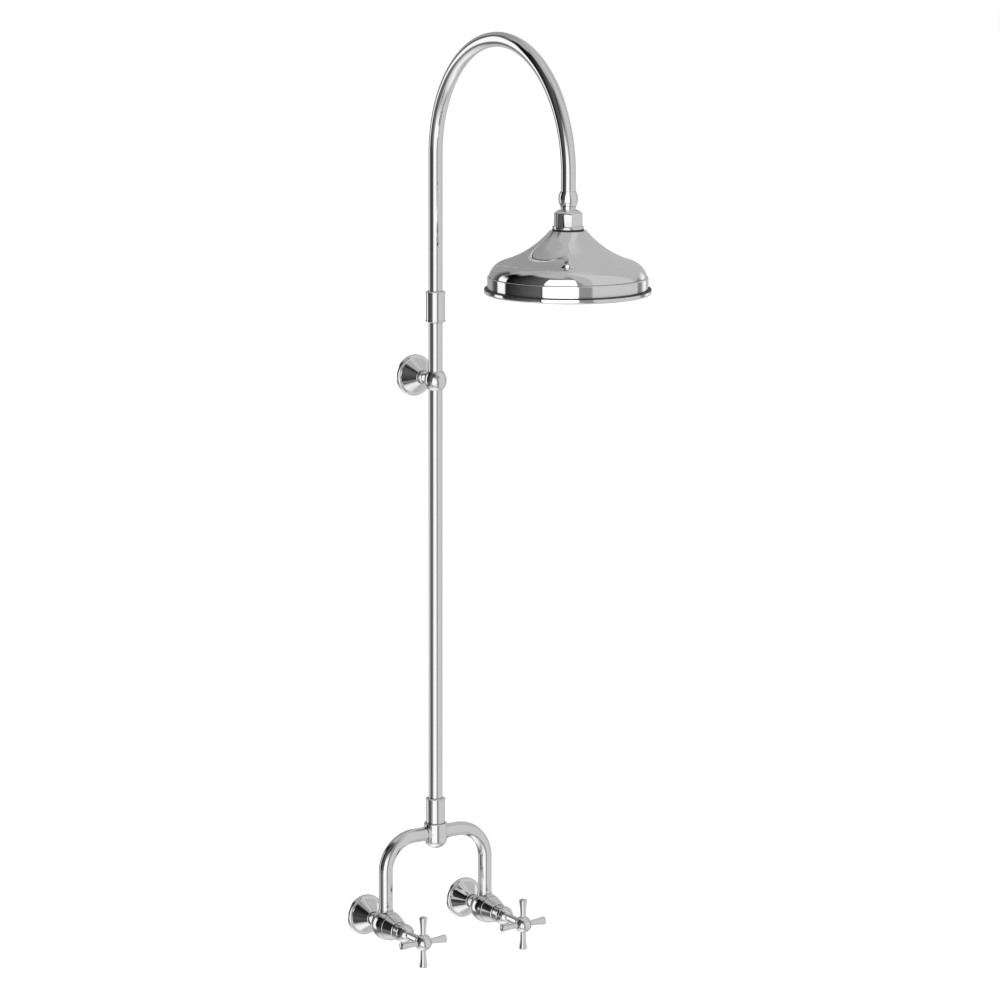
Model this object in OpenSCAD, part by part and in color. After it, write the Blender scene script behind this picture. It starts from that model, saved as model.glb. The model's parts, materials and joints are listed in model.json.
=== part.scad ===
// Rainfall shower column for wall mounting: two cross-handle taps, a bridge with a centre tee,
// a riser in a wall bracket, a gooseneck arm and a bell-shaped rose on a ball joint.
// Origin: on the wall, midway between the two inlets. +X right, +Y into the wall, +Z up.

/* [Column] */
// Distance between the two inlets
inlet_centres = 150; // [140:1:200]
// Distance of the bridge, riser and arm from the wall
column_out = 52; // [50:0.5:60]
// Height of the bridge above the inlets
bridge_z = 111.3; // [95:0.1:160]
// Radius of the bridge pipes' bends
bridge_bend_r = 42; // [30:1:45]
// Height of the wall bracket above the inlets
bracket_z = 700.5; // [400:0.5:740]
// Height of the joint between riser and arm
joint_z = 788.6; // [760:0.1:900]
// Height of the centre of the arm's half circle
arch_z = 986.5; // [920:0.5:1100]
// Radius of the arm's half circle
arch_r = 150; // [120:1:180]
// Length of the arm's straight end above the rose
arm_drop = 29.2; // [25:0.1:60]

/* [Tubes] */
// Outer diameter of the tubes
tube_d = 18; // [17.6:0.1:18.6]
// Wall of the tubes
tube_wall = 1.25; // [1:0.05:2]
// Length of a bridge pipe inside a socket
bridge_insert = 8.6; // [8.4:0.1:8.8]

/* [Clearances] */
// Radial clearance of a tube, shaft or thread in its hole
fit = 0.05; // [0.02:0.01:0.1]
// Clearance of a plain shank in a cover or tail socket
loose = 0.1; // [0.05:0.05:0.2]
// Gap between faces that rest on each other
face_gap = 0.05; // [0.02:0.01:0.1]

/* [Wall flanges] */
// Diameter of a wall flange
flange_d = 53.2; // [50:0.1:60]
// Height of the flange's straight edge
flange_edge_h = 1.4; // [1:0.1:2.5]
// Radius of the rounding above that edge
flange_round_r = 3.4; // [2.5:0.1:4]
// Width of the step between the flange's outside and its cone
flange_step = 4.6; // [4.2:0.1:6]
// Height of a wall flange
flange_h = 20.6; // [18:0.1:22]
// Radius of the cone's small end
flange_neck_r = 9.2; // [9:0.1:11]
// Radius of the bead round the small end
flange_bead_r = 0.9; // [0.5:0.1:1.2]
// Sheet thickness of the flanges and the bonnets
sheet = 1.4; // [1:0.1:1.8]

/* [Inlets] */
// Radius of the inlet's pipe thread (half inch)
inlet_thread_r = 10.48; // [10.48:0.01:13.22]
// Length of the inlet thread behind the wall
inlet_thread_l = 15; // [12:0.5:20]
// Width of the inlet's hexagon across its flats
inlet_hex_af = 22; // [21:0.5:26]
// Length of the inlet's hexagon
inlet_hex_l = 8; // [6:0.5:10]
// Radius of the inlet's plain shank
shank_r = 8; // [7.5:0.1:8.2]
// Radius of the inlet's bore
inlet_bore_r = 5.5; // [4.5:0.1:6]

/* [Tap bodies] */
// Distance from the wall to the tap body
body_start = 34; // [32:0.5:36]
// Radius of the ring at the back of the tap body
body_ring_r = 12.4; // [11.5:0.1:14]
// Width of that ring
body_ring_w = 3; // [2:0.1:4]
// Largest radius of the tap body
body_r = 19.4; // [19:0.1:21]
// Radius of the arc that rounds the back of the tap body
body_back_r = 23; // [22:0.5:26]
// Radius of the arc that tapers its front
body_front_r = 45; // [36:1:60]
// Distance of the tap body's widest place in front of the column's plane
body_lead = 2; // [0:0.5:3]
// Distance from the wall to the tap body's front face
body_front = 67.6; // [66:0.1:70]
// Radius of the water chamber round the cartridge
chamber_r = 12.5; // [12:0.1:13]
// Height of the bridge pipe's end above the tap's axis
pipe_foot_z = 12.1; // [11.5:0.1:13]

/* [Cartridges] */
// Radius of the cartridge's thread
cartridge_thread_r = 10.43; // [10.2:0.01:10.6]
// Radius of the cartridge's sleeve round the discs
sleeve_r = 8.9; // [8.6:0.1:9.2]
// Bore of that sleeve
sleeve_bore_r = 7.55; // [7.4:0.05:7.8]
// Thickness of the base seal
base_seal_h = 1.5; // [1:0.1:2]
// Thickness of each ceramic disc
disc_h = 2.75; // [2:0.05:3]
// Width of the cartridge's hexagon across its flats
cartridge_af = 19; // [17:0.5:20]
// Radius of the cartridge's neck
cartridge_neck_r = 7; // [6.5:0.1:7.5]
// Radius of the spindle
spindle_r = 4; // [3.8:0.1:4.2]
// Depth of the spindle's splines
spline_depth = 0.45; // [0.3:0.05:0.6]
// Number of splines
spline_count = 20; // [12:1:24]
// Angle of each water port in the discs
port_angle = 80; // [60:1:85]

/* [Bonnets] */
// Radius of the bonnet's wide end
bonnet_r = 16.9; // [16:0.1:18]
// Radius of the bonnet's narrow end
bonnet_end_r = 12.5; // [12:0.1:14]
// Length of the bonnet
bonnet_l = 18.4; // [17:0.1:20]
// Radius of the bead round the bonnet's wide end
bonnet_bead_r = 0.8; // [0.5:0.1:1]

/* [Handles] */
// Distance from the wall to the middle of the cross
cross_out = 144.4; // [140:0.1:150]
// Span of the cross from tip to tip
cross_span = 67.6; // [64:0.1:84]
// Gap between bonnet and handle skirt
skirt_gap = 0.8; // [0.4:0.1:1.5]
// Radius of the skirt at its open end
skirt_r = 11.4; // [11:0.1:13]
// Largest radius of the skirt
skirt_top_r = 12.3; // [12:0.1:14]
// Length of the skirt up to its largest radius
skirt_l = 11.3; // [11:0.1:14]
// Radius of the arc that domes the skirt
skirt_dome_r = 14; // [13:0.5:20]
// Radius of the neck between skirt and hub
neck_r = 5.3; // [5.1:0.1:6]
// Radius of the hub's ball
hub_r = 11; // [10:0.1:12]
// Radius of an arm next to the hub
arm_root_r = 3.7; // [3:0.1:4.5]
// Radius of the arc that flares an arm
arm_flare_r = 115; // [90:1:140]
// Radius of the rounding at an arm's tip
arm_corner_r = 1.8; // [1:0.1:2]
// Height of an arm's rounded end
arm_end_h = 2.4; // [2.2:0.1:3]
// Radius of the button on the hub
button_r = 6.6; // [5.5:0.1:7]

/* [Tee] */
// Outer radius of the tee
tee_r = 15; // [14:0.1:17]
// Height of the tee's shoulder above the bridge's axis
tee_top = 13.4; // [12:0.1:16]
// Depth of the tee's straight wall below the bridge's axis
tee_bottom = 10.3; // [10:0.1:13]
// Height of the dome under the tee
tee_dome_h = 10.6; // [8:0.1:13]
// Radius of the tee's side bosses
tee_boss_r = 10.2; // [10.1:0.1:10.8]
// Distance from the tee's axis to the face of a side boss
tee_boss_x = 15.5; // [15.3:0.1:16]
// Radius of the tee's threaded spigot
spigot_r = 10.9; // [10.5:0.1:11]
// Height of that spigot
spigot_h = 10.3; // [8:0.1:12]
// Radius of the tee's inner passages
tee_bore_r = 7.5; // [6:0.1:8]

/* [Riser sleeve and joint sleeve] */
// Outer radius of both sleeves
sleeve_tube_r = 12.2; // [12:0.1:13]
// Radius of the thin rings on the sleeves
sleeve_ring_r = 12.9; // [12.7:0.1:14]
// Height of a thin ring
sleeve_ring_h = 1.2; // [0.8:0.1:2]
// Height of the sleeve on the tee
riser_socket_h = 32.6; // [30:0.1:36]
// Length of the joint sleeve below its inner stop
joint_below = 14; // [12:0.5:18]
// Length of the joint sleeve above its inner stop
joint_above = 23.4; // [20:0.1:28]
// Thickness of the inner stop
stop_h = 2; // [1.5:0.1:3]

/* [Bracket] */
// Radius of the bracket's wall bolt (M8)
bolt_r = 4; // [3:0.5:5]
// Length of the bolt behind the wall
bolt_back_l = 30; // [25:1:60]
// Largest radius of the bracket's barrel round the riser
clamp_r = 14.3; // [14:0.1:16]
// Half height of that barrel
clamp_half_h = 11.7; // [10:0.1:12]
// Radius of the arc that shapes the barrel
clamp_arc_r = 17.5; // [17:0.1:22]
// Radius of the collar behind the barrel
clamp_collar_r = 10.2; // [9:0.1:11]
// Radius of the clamp's plug in the stem
plug_r = 5; // [4.5:0.1:5.4]
// Length of that plug
plug_l = 13; // [10:0.5:14]

/* [Screws and rings] */
// Radius of the set screws (M4)
set_screw_r = 2; // [1.5:0.1:2.5]
// Length of the set screws
set_screw_l = 3.4; // [3:0.1:4]
// Section radius of the O-rings
ring_r = 0.7; // [0.5:0.05:0.75]
// Radius of the handle screw's shank
handle_screw_r = 2; // [1.5:0.1:2.2]

/* [Ball joint] */
// Drop of the ball's centre below the barrel fitting
ball_drop = 12.6; // [12.4:0.1:14]
// Radius of the ball
ball_r = 12.5; // [12.2:0.1:12.6]
// Radius of the ball's neck
ball_neck_r = 9; // [8.6:0.1:9]
// Thickness of the nylon cup
cup_t = 1; // [0.8:0.1:1.1]
// Height of the opening's edge above the ball's centre
lip_h = 7.6; // [7.2:0.1:7.8]
// Radius of the barrel fitting at its middle
barrel_r = 11.9; // [11.8:0.1:14]
// Radius of the arc that shapes the barrel
barrel_arc_r = 17.6; // [16:0.1:20]
// Height of the barrel fitting
barrel_h = 17.4; // [16:0.1:20]
// Width of the hexagon nut across its flats
nut_af = 32; // [31.6:0.1:34]
// Height of the nut above its collar
nut_hex_h = 18.8; // [18:0.1:20]
// Radius of the nut's collar
nut_collar_r = 18.8; // [18.5:0.1:20]
// Height of the nut's collar
nut_collar_h = 3; // [2:0.1:4]
// Height of the rubber washer under the nut
washer_h = 1.9; // [1:0.1:2.5]
// Radius of the rose's threaded boss
boss_r = 14; // [13.8:0.1:14.2]

/* [Rose] */
// Radius of the face plate's rolled rim
rim_r = 99.6; // [95:0.1:104]
// Drop of the rim's middle below the ball's centre
rim_drop = 89.2; // [86:0.1:91]
// Height of the rolled rim
rim_h = 5.2; // [5:0.1:7]
// Radius of the rounding under the rim
rim_round_r = 2.6; // [1.5:0.1:3]
// Height of the seam above the rim's middle
seam_h = 18.6; // [17:0.1:21]
// Distance from the rim's outside in to the band
band_in = 3.8; // [2:0.1:5]
// Radius of the rounding at the band's top edge
band_round_r = 1.5; // [0.5:0.1:1.8]
// Width of the seam line between bell and band
seam_gap = 0.4; // [0.1:0.1:0.5]
// Thickness of the band
band_wall = 2.4; // [2:0.1:3]
// Distance from the band in to the bell at the seam
seam_step = 1.6; // [1:0.1:2]
// Wall of the bell
bell_wall = 1.2; // [0.8:0.1:1.6]
// Height of the middle of the rounded shoulder's arc above the rim's middle
shoulder_h = 12.6; // [12:0.1:14]
// Radius of the bell's rounded shoulder
shoulder_r = 24.5; // [23:0.1:27]
// Radius of the bell's hollow flare
flare_r = 118; // [112:1:122]
// Tilt of the line where flare and shoulder meet
meet_angle = 17; // [16.5:0.1:18]
// Width of the rolled rim
rim_w = 4; // [3.5:0.1:5]
// Thickness of the gasket between band and face plate
gasket_h = 1; // [0.8:0.1:1.5]
// Thickness of the face plate
plate_t = 1.5; // [1:0.1:2.5]
// Number of nozzle rings
nozzle_rings = 5; // [3:1:5]
// Distance from the outer nozzles to the edge of their mat
nozzle_margin = 2.2; // [2:0.1:4]
// Radius of a nozzle hole in the plate
nozzle_hole_r = 1.9; // [1.5:0.1:2.2]
// Length of a nozzle below the plate
nozzle_l = 2.4; // [1:0.1:3]
// Number of plate screws
plate_screws = 6; // [3:1:8]

/* [Hidden] */
$fn = 96;

eps = 0.01; // how far a cut runs past a face
far = 400; // a length past everything that is cut
LEFT = -1;
RIGHT = 1;

CHROME = "gainsboro";
BRASS = "goldenrod";
RUBBER = "dimgray";
CERAMIC = "white";
NYLON = "ivory";
STEEL = "silver";

tube_r = tube_d / 2;
socket_r = tube_r + fit;
ring_out_r = tube_r + fit + 2 * ring_r; // bottom of an O-ring groove round a tube
groove_w = 2 * ring_r + 0.2;
pipe_lip_r = socket_r + 0.5; // thin lip round a bridge pipe, on top of a tap body
pipe_lip_z = body_r + 0.1;
flange_cone_z = flange_edge_h + flange_round_r; // where a flange's cone starts

// Taps, measured along their axis from the wall
tail_end = body_start + 10.5;
tail_ring_at = tail_end - 4.2;
tail_screw_at = body_start + body_ring_w / 2 + 0.6;
pipe_ring_z = pipe_foot_z + 0.8 + groove_w / 2; // O-ring round the bridge pipe's foot
tail_socket_end = tail_end + 0.4;
body_mid = column_out + body_lead;
seat_at = tail_socket_end + 3.1;
chamber_end = seat_at + 10;
sleeve_at = seat_at + base_seal_h + 2 * face_gap;
fixed_disc_at = sleeve_at;
turning_disc_at = fixed_disc_at + disc_h + face_gap;
foot_at = turning_disc_at + disc_h + face_gap;
foot_h = 2.4;
disc_r = sleeve_bore_r - 2 * fit;
disc_hub_r = 2.2; // solid middle of a ceramic disc
disc_port_r = disc_r - 1.2;
drive_w = 3; // bar under the spindle's foot that turns the disc
drive_h = 1.2;
cartridge_flange_r = sleeve_r + 3.2;
cartridge_flange_h = 2;
cartridge_hex_h = 6.4;
bonnet_at = body_front + 0.4;
bonnet_front = bonnet_at + bonnet_l;
bonnet_lip = 2.2;
cartridge_end = bonnet_front + 3.6;
skirt_at = bonnet_front + skirt_gap;
skirt_top = skirt_at + skirt_l;
skirt_room = 9.6; // hollow inside the skirt, as deep as radius
spline_at = skirt_at + skirt_room + 1;
spline_r = spindle_r - 0.1; // tip of a spline's tooth
spindle_end = spline_at + 28;
screw_seat = cross_out - 3;
screw_hole_l = 14; // depth of the handle screw's hole
screw_head_r = 3.6;
screw_head_h = 3;
button_at = cross_out + 6;
button_front = cross_out + hub_r - 0.3;
arm_root = hub_r + 1;
arm_tip = cross_span / 2;
arm_corner_z = arm_tip - arm_end_h; // where the flare ends and the rounded tip starts
arm_end_r = arm_root_r + arm_flare_r - sqrt(pow(arm_flare_r, 2) - pow(arm_corner_z - arm_root, 2));
arm_corner_at = arm_end_r - arm_corner_r;
// The tip's flat dome touches the rounding, which fixes its radius
arm_dome_r = (pow(arm_corner_at, 2) + pow(arm_end_h, 2) - pow(arm_corner_r, 2))
    / (2 * (arm_end_h - arm_corner_r));

// Bracket, measured from the wall
stem_back = 1;
stem_front = column_out - clamp_r - 0.6;
stem_screw_at = stem_front - 5;
bolt_in_l = 13;
bolt_stem_r = bolt_r - 0.2;

// Column, measured from the inlets' height
spigot_base_z = bridge_z + tee_top;
tee_ring_x = 9.6; // place of the O-ring in a side boss
socket_step_z = spigot_base_z + spigot_h + 0.7;
riser_ring_z = socket_step_z + 7 + groove_w / 2;
riser_screw_z = spigot_base_z + 0.3 + riser_socket_h - 7;
riser_foot_z = socket_step_z + face_gap;
riser_socket_top = spigot_base_z + 0.3 + riser_socket_h;
riser_top_z = joint_z - face_gap;
arm_foot_z = joint_z + stop_h + 0.3;
sleeve_ring_in = 7; // first O-ring from a sleeve's inner stop
coupling_ring_places = [for (i = [0, 1]) joint_z + stop_h + sleeve_ring_in * (1 + i)];

// Ball joint
arm_end_z = arch_z - arm_drop; // foot of the arm's tube
barrel_top = arm_end_z + 8.7;
barrel_foot = barrel_top - barrel_h;
ball_z = barrel_foot - ball_drop;
stem_thread_r = 8.2;
stem_top = arm_end_z - 2.2;
neck_flange_r = barrel_r - 2.6;
cup_in_r = ball_r + fit;
cup_out_r = cup_in_r + cup_t;
nut_in_r = cup_out_r + 0.1;
nut_lip_r = sqrt(nut_in_r * nut_in_r - lip_h * lip_h);
nut_corner_r = nut_af / 2 / cos(30);
nut_foot_z = ball_z + lip_h - nut_hex_h - nut_collar_h;
boss_top_z = ball_z - 5;
boss_ledge_z = boss_top_z - 5.6;
seal_out_r = boss_r - 1.1;
boss_bore_r = 7.5;
nut_turn = 20.2; // turn of the nut's corners at rest

// Rose
rim_z = ball_z - rim_drop;
rim_top = rim_z + rim_h / 2;
rim_foot = rim_z - rim_h / 2;
band_r = rim_r - band_in;
seam_z = rim_z + seam_h;
seam_r = band_r - seam_step; // the bell's radius at the seam
bell_r = band_r - band_wall; // straight wall of the bell inside the band
shoulder_c = [seam_r - sqrt(pow(shoulder_r, 2) - pow(seam_h - shoulder_h, 2)), rim_z + shoulder_h];
flare_c = shoulder_c + (flare_r + shoulder_r) * [sin(meet_angle), cos(meet_angle)];
meet_r = shoulder_c[0] + shoulder_r * sin(meet_angle);
crown_z = nut_foot_z - washer_h - 2 * face_gap;
plate_foot = rim_top - plate_t;
gasket_z = rim_top + face_gap;
ledge_z = gasket_z + gasket_h + face_gap;
ledge_h = 2;
ledge_r = bell_r - 7; // inner radius of the band's ledge
bell_foot_z = ledge_z + ledge_h + face_gap;
mat_t = 0.85;
mat_r = bell_r - 9;
nozzle_pitch = (mat_r - nozzle_margin) / nozzle_rings;
screw_ring_r = bell_r - 2.6;
plate_screw_r = 1.2;

// ---- places ----

// Turns +Z to point away from the wall, so that heights become distances from the wall
module from_wall() { rotate([90, 0, 0]) children(); }
module at_tap(side) { translate([side * inlet_centres / 2, 0, 0]) from_wall() children(); }
module at_bracket() { translate([0, 0, bracket_z]) from_wall() children(); }
module at_riser() { translate([0, -column_out, 0]) children(); }
module at_rose() { translate([0, -column_out - 2 * arch_r, 0]) children(); }

// ---- shared shapes ----

// A ring or disc round +Z from height z0 to z1
module ring(r_out, r_in, z0, z1) {
    translate([0, 0, z0]) difference() {
        cylinder(r = r_out, h = z1 - z0);
        if (r_in > 0) translate([0, 0, -eps]) cylinder(r = r_in, h = z1 - z0 + 2 * eps);
    }
}

// A hole or plug round +Z from height z0 to z1
module rod(r, z0, z1) { translate([0, 0, z0]) cylinder(r = r, h = z1 - z0); }

// The groove of an O-ring at height z
module groove(r_out, r_in, z) { ring(r_out, r_in, z - groove_w / 2, z + groove_w / 2); }

// An O-ring at height z, whose inside has radius r_in
module o_ring(r_in, z) {
    translate([0, 0, z]) rotate_extrude() translate([r_in + ring_r, 0]) circle(r = ring_r, $fn = 24);
}

module hexagon(across_flats, z0, z1) {
    translate([0, 0, z0]) cylinder(r = across_flats / 2 / cos(30), h = z1 - z0, $fn = 6);
}

// Keeps what lies between heights z0 and z1 and inside radius r, in a profile
module band_2d(r, z0, z1) { translate([0, z0]) square([r, z1 - z0]); }

// A plain round bar across +Z, from distance x0 to x1 along X, at height z
module side_rod(r, x0, x1, z) { translate([x0, 0, z]) rotate([0, 90, 0]) cylinder(r = r, h = x1 - x0); }

// ---- wall flanges ----

module flange_profile() {
    cone_r = flange_d / 2 - flange_step;
    round_at = flange_d / 2 - flange_round_r;
    band_2d(flange_d / 2, 0, flange_edge_h);
    intersection() {
        translate([round_at, flange_edge_h]) circle(r = flange_round_r, $fn = 64);
        translate([round_at - 1, flange_edge_h]) square(flange_round_r + 2);
    }
    band_2d(round_at, 0, flange_cone_z);
    polygon([[0, flange_cone_z], [cone_r, flange_cone_z], [flange_neck_r, flange_h], [0, flange_h]]);
    translate([flange_neck_r - 0.4, flange_h]) circle(r = flange_bead_r, $fn = 32);
}

module flange() {
    inner_r = flange_d / 2 - sheet;
    roof_z = flange_cone_z - sheet;
    rotate_extrude() difference() {
        flange_profile();
        polygon([
            [0, -eps], [inner_r, -eps], [inner_r, flange_edge_h], [flange_d / 2 - flange_round_r, roof_z],
            [flange_d / 2 - flange_step - sheet, roof_z], [shank_r + loose, flange_h - 2 * sheet],
            [0, flange_h - 2 * sheet],
        ]);
        translate([0, -eps]) square([shank_r + loose, flange_h + 2]);
    }
}

module wall_flange(side) { color(CHROME) at_tap(side) flange(); }
module bracket_flange() { color(CHROME) at_bracket() flange(); }

// ---- taps ----

module inlet_tail(side) {
    color(BRASS) at_tap(side) difference() {
        union() {
            rod(inlet_thread_r, -inlet_thread_l, 0);
            hexagon(inlet_hex_af, 0, inlet_hex_l);
            rod(shank_r, inlet_hex_l, tail_end);
        }
        rod(inlet_bore_r, -inlet_thread_l - eps, tail_end + eps);
        groove(shank_r + 1, shank_r + fit - 2 * ring_r, tail_ring_at);
    }
}

module tail_seal(side) { color(RUBBER) at_tap(side) o_ring(shank_r + fit - 2 * ring_r, tail_ring_at); }

// Outline of the tap body: a ring, a rounded back and a front that tapers towards the bonnet
module body_profile() {
    band_2d(body_ring_r, body_start, body_start + body_ring_w + 1);
    intersection() {
        translate([body_r - body_back_r, body_mid]) circle(r = body_back_r);
        band_2d(body_r, body_start + body_ring_w, body_mid);
    }
    intersection() {
        translate([body_r - body_front_r, body_mid]) circle(r = body_front_r, $fn = 180);
        band_2d(body_r, body_mid, body_front);
    }
}

module tap_body(side) {
    color(CHROME) at_tap(side) difference() {
        union() {
            rotate_extrude() body_profile();
            translate([0, 0, column_out]) rotate([-90, 0, 0]) rod(pipe_lip_r, pipe_foot_z, pipe_lip_z);
        }
        rod(shank_r + fit, body_start - eps, tail_socket_end);
        rod(inlet_bore_r, tail_socket_end - eps, seat_at + eps);
        rod(chamber_r, seat_at, chamber_end);
        rod(cartridge_thread_r + fit, chamber_end - eps, body_front + eps);
        translate([0, 0, column_out]) rotate([-90, 0, 0]) {
            rod(socket_r, pipe_foot_z - face_gap, body_r + 1);
            rod(tee_bore_r, pipe_foot_z - 2, pipe_foot_z);
            groove(ring_out_r, 0, pipe_ring_z);
        }
        set_screw_hole();
    }
}

// The set screw under the tap body, square to the tap's axis
module set_screw_hole() {
    translate([0, 0, tail_screw_at]) rotate([90, 0, 0]) rod(set_screw_r + fit, shank_r, body_ring_r + 3);
}

module base_seal(side) {
    foot = seat_at + face_gap;
    color(RUBBER) at_tap(side) ring(sleeve_r - 0.1, inlet_bore_r + 0.1, foot, foot + base_seal_h);
}

// One of the two opposite water ports in a disc, as a flat outline
module port_2d(r_in, r_out) {
    reach = 2 * r_out;
    intersection() {
        difference() {
            circle(r = r_out);
            circle(r = r_in);
        }
        polygon([[0, 0], reach * [cos(port_angle / 2), sin(port_angle / 2)], [reach, 0],
            reach * [cos(port_angle / 2), -sin(port_angle / 2)]]);
    }
}

module ports(r_in, r_out, z0, z1, turn) {
    for (half = [0, 180]) rotate([0, 0, turn + half])
        translate([0, 0, z0]) linear_extrude(z1 - z0) port_2d(r_in, r_out);
}

module fixed_disc(side) {
    color(CERAMIC) at_tap(side) difference() {
        rod(disc_r, fixed_disc_at, fixed_disc_at + disc_h);
        ports(disc_hub_r, disc_port_r, fixed_disc_at - eps, fixed_disc_at + disc_h + eps, 0);
    }
}

// The turning disc's ports are open at its edge and lie square to the fixed ports while the tap is shut
module turning_disc(side) {
    top = turning_disc_at + disc_h;
    color(CERAMIC) at_tap(side) difference() {
        rod(disc_r, turning_disc_at, top);
        ports(disc_hub_r + 1, disc_r + 1, turning_disc_at - eps, top - 1, 90);
        translate([0, 0, top]) cube([drive_w + 2 * fit, 2 * disc_r + 1, 2 * (drive_h + fit)], center = true);
    }
}

module cartridge(side) {
    window_at = turning_disc_at - 0.2;
    window_h = disc_h + 1.2;
    seal_room = foot_at + foot_h + face_gap;
    hex_foot = body_front + cartridge_flange_h;
    color(BRASS) at_tap(side) difference() {
        union() {
            rod(sleeve_r, sleeve_at, chamber_end);
            rod(cartridge_thread_r, chamber_end, body_front);
            rod(cartridge_flange_r, body_front, hex_foot);
            hexagon(cartridge_af, hex_foot, hex_foot + cartridge_hex_h);
            rod(cartridge_neck_r, hex_foot, cartridge_end);
        }
        rod(sleeve_bore_r, sleeve_at - eps, seal_room);
        rod(spindle_r + fit, seal_room - eps, cartridge_end + eps);
        translate([0, 0, window_at + window_h / 2])
            cube([2 * sleeve_r + 1, sleeve_bore_r * 1.3, window_h], center = true);
    }
}

// Outline of the splined end: one tooth for each spline
module spline_2d(grow) {
    step = 180 / spline_count;
    polygon([for (i = [0 : 2 * spline_count - 1])
        (spline_r + grow - (i % 2) * spline_depth) * [cos(i * step), sin(i * step)]]);
}

seal_places = [foot_at + foot_h + 3, foot_at + foot_h + 7]; // the spindle's two O-rings
spindle_ring_in_r = spindle_r + fit - 0.02 - 2 * ring_r; // they slide in the cartridge's bore

module spindle(side) {
    color(BRASS) at_tap(side) difference() {
        union() {
            rod(disc_r, foot_at, foot_at + foot_h);
            translate([0, 0, foot_at - drive_h / 2 + eps / 2])
                cube([drive_w, 2 * disc_r - 4, drive_h + eps], center = true);
            rod(spindle_r, foot_at + foot_h, spline_at);
            translate([0, 0, spline_at]) linear_extrude(spindle_end - spline_at) spline_2d(0);
        }
        for (z = seal_places) groove(spindle_r + 1, spindle_ring_in_r, z);
        rod(handle_screw_r + fit, spindle_end - screw_hole_l, spindle_end + eps);
    }
}

module spindle_seals(side) {
    color(RUBBER) at_tap(side) for (z = seal_places) o_ring(spindle_ring_in_r, z);
}

// Outline of the bonnet's outside, made smaller all round by inset
module bonnet_profile(inset) {
    polygon([
        [0, bonnet_at], [bonnet_r - inset, bonnet_at], [bonnet_end_r - inset, bonnet_front - 0.7],
        [bonnet_end_r - 0.7 - inset, bonnet_front], [0, bonnet_front],
    ]);
}

module bonnet(side) {
    color(CHROME) at_tap(side) rotate_extrude() difference() {
        union() {
            bonnet_profile(0);
            translate([bonnet_r - 0.5, bonnet_at + bonnet_bead_r]) circle(r = bonnet_bead_r, $fn = 32);
        }
        intersection() {
            bonnet_profile(sheet);
            band_2d(bonnet_r, bonnet_at - 1, bonnet_front - bonnet_lip);
        }
        band_2d(cartridge_neck_r + fit, bonnet_at - 1, bonnet_front + 1);
    }
}

// ---- handles ----

// Outline of the turned middle of a handle: skirt, dome, neck and ball-shaped hub
module handle_profile() {
    polygon([[0, skirt_at], [skirt_r, skirt_at], [skirt_top_r, skirt_top], [0, skirt_top]]);
    intersection() {
        translate([skirt_top_r - skirt_dome_r, skirt_top]) circle(r = skirt_dome_r);
        band_2d(skirt_top_r, skirt_top - eps, cross_out - hub_r);
    }
    band_2d(neck_r, skirt_top, cross_out);
    intersection() {
        translate([0, cross_out]) circle(r = hub_r);
        band_2d(hub_r, cross_out - hub_r, cross_out + hub_r);
    }
}

// Outline of one arm along its own axis: a flare, then a rounded tip with a flat dome
module arm_profile() {
    difference() {
        band_2d(arm_end_r + 1, arm_root, arm_corner_z);
        translate([arm_root_r + arm_flare_r, arm_root]) circle(r = arm_flare_r, $fn = 180);
    }
    intersection() {
        translate([0, arm_tip - arm_dome_r]) circle(r = arm_dome_r);
        band_2d(arm_corner_at * arm_dome_r / (arm_dome_r - arm_corner_r), arm_corner_z - 1, arm_tip);
    }
    translate([arm_corner_at, arm_corner_z]) circle(r = arm_corner_r, $fn = 48);
}

module arm() {
    translate([0, 0, hub_r / 2]) cylinder(r = arm_root_r, h = arm_root - hub_r / 2 + eps);
    rotate_extrude() arm_profile();
}

module handle(side) {
    color(CHROME) at_tap(side) difference() {
        union() {
            rotate_extrude() handle_profile();
            for (turn = [0 : 90 : 270]) translate([0, 0, cross_out]) rotate([0, 90, turn]) arm();
        }
        rod(skirt_room, skirt_at - eps, skirt_at + skirt_room);
        rod(spindle_r + loose, skirt_at, spline_at + eps);
        translate([0, 0, spline_at]) linear_extrude(spindle_end + face_gap - spline_at) spline_2d(loose);
        rod(handle_screw_r + loose, spindle_end, screw_seat + eps);
        rod(screw_head_r + loose, screw_seat, button_at + eps);
        rod(button_r + fit, button_at, cross_out + hub_r + 1);
    }
}

module handle_screw(side) {
    color(STEEL) at_tap(side) difference() {
        union() {
            rod(handle_screw_r, spindle_end - screw_hole_l + 2, screw_seat + 1);
            rod(screw_head_r, screw_seat + face_gap, screw_seat + screw_head_h);
        }
        hexagon(3, screw_seat + screw_head_h - 1.8, screw_seat + screw_head_h + eps);
    }
}

module handle_button(side) {
    dome_r = 11;
    color(CHROME) at_tap(side) intersection() {
        rod(button_r, button_at + face_gap, button_front + 2);
        translate([0, 0, button_front - dome_r]) sphere(r = dome_r);
    }
}

// ---- bridge ----

module bridge_pipe_solid(r) {
    tap_x = inlet_centres / 2;
    start_x = tee_boss_x - bridge_insert;
    translate([tap_x, 0, pipe_foot_z]) cylinder(r = r, h = bridge_z - bridge_bend_r - pipe_foot_z);
    side_rod(r, start_x, tap_x - bridge_bend_r, bridge_z);
    translate([tap_x - bridge_bend_r, 0, bridge_z - bridge_bend_r]) rotate([90, 0, 0])
        rotate_extrude(angle = 90) translate([bridge_bend_r, 0]) circle(r = r, $fn = 48);
}

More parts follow.
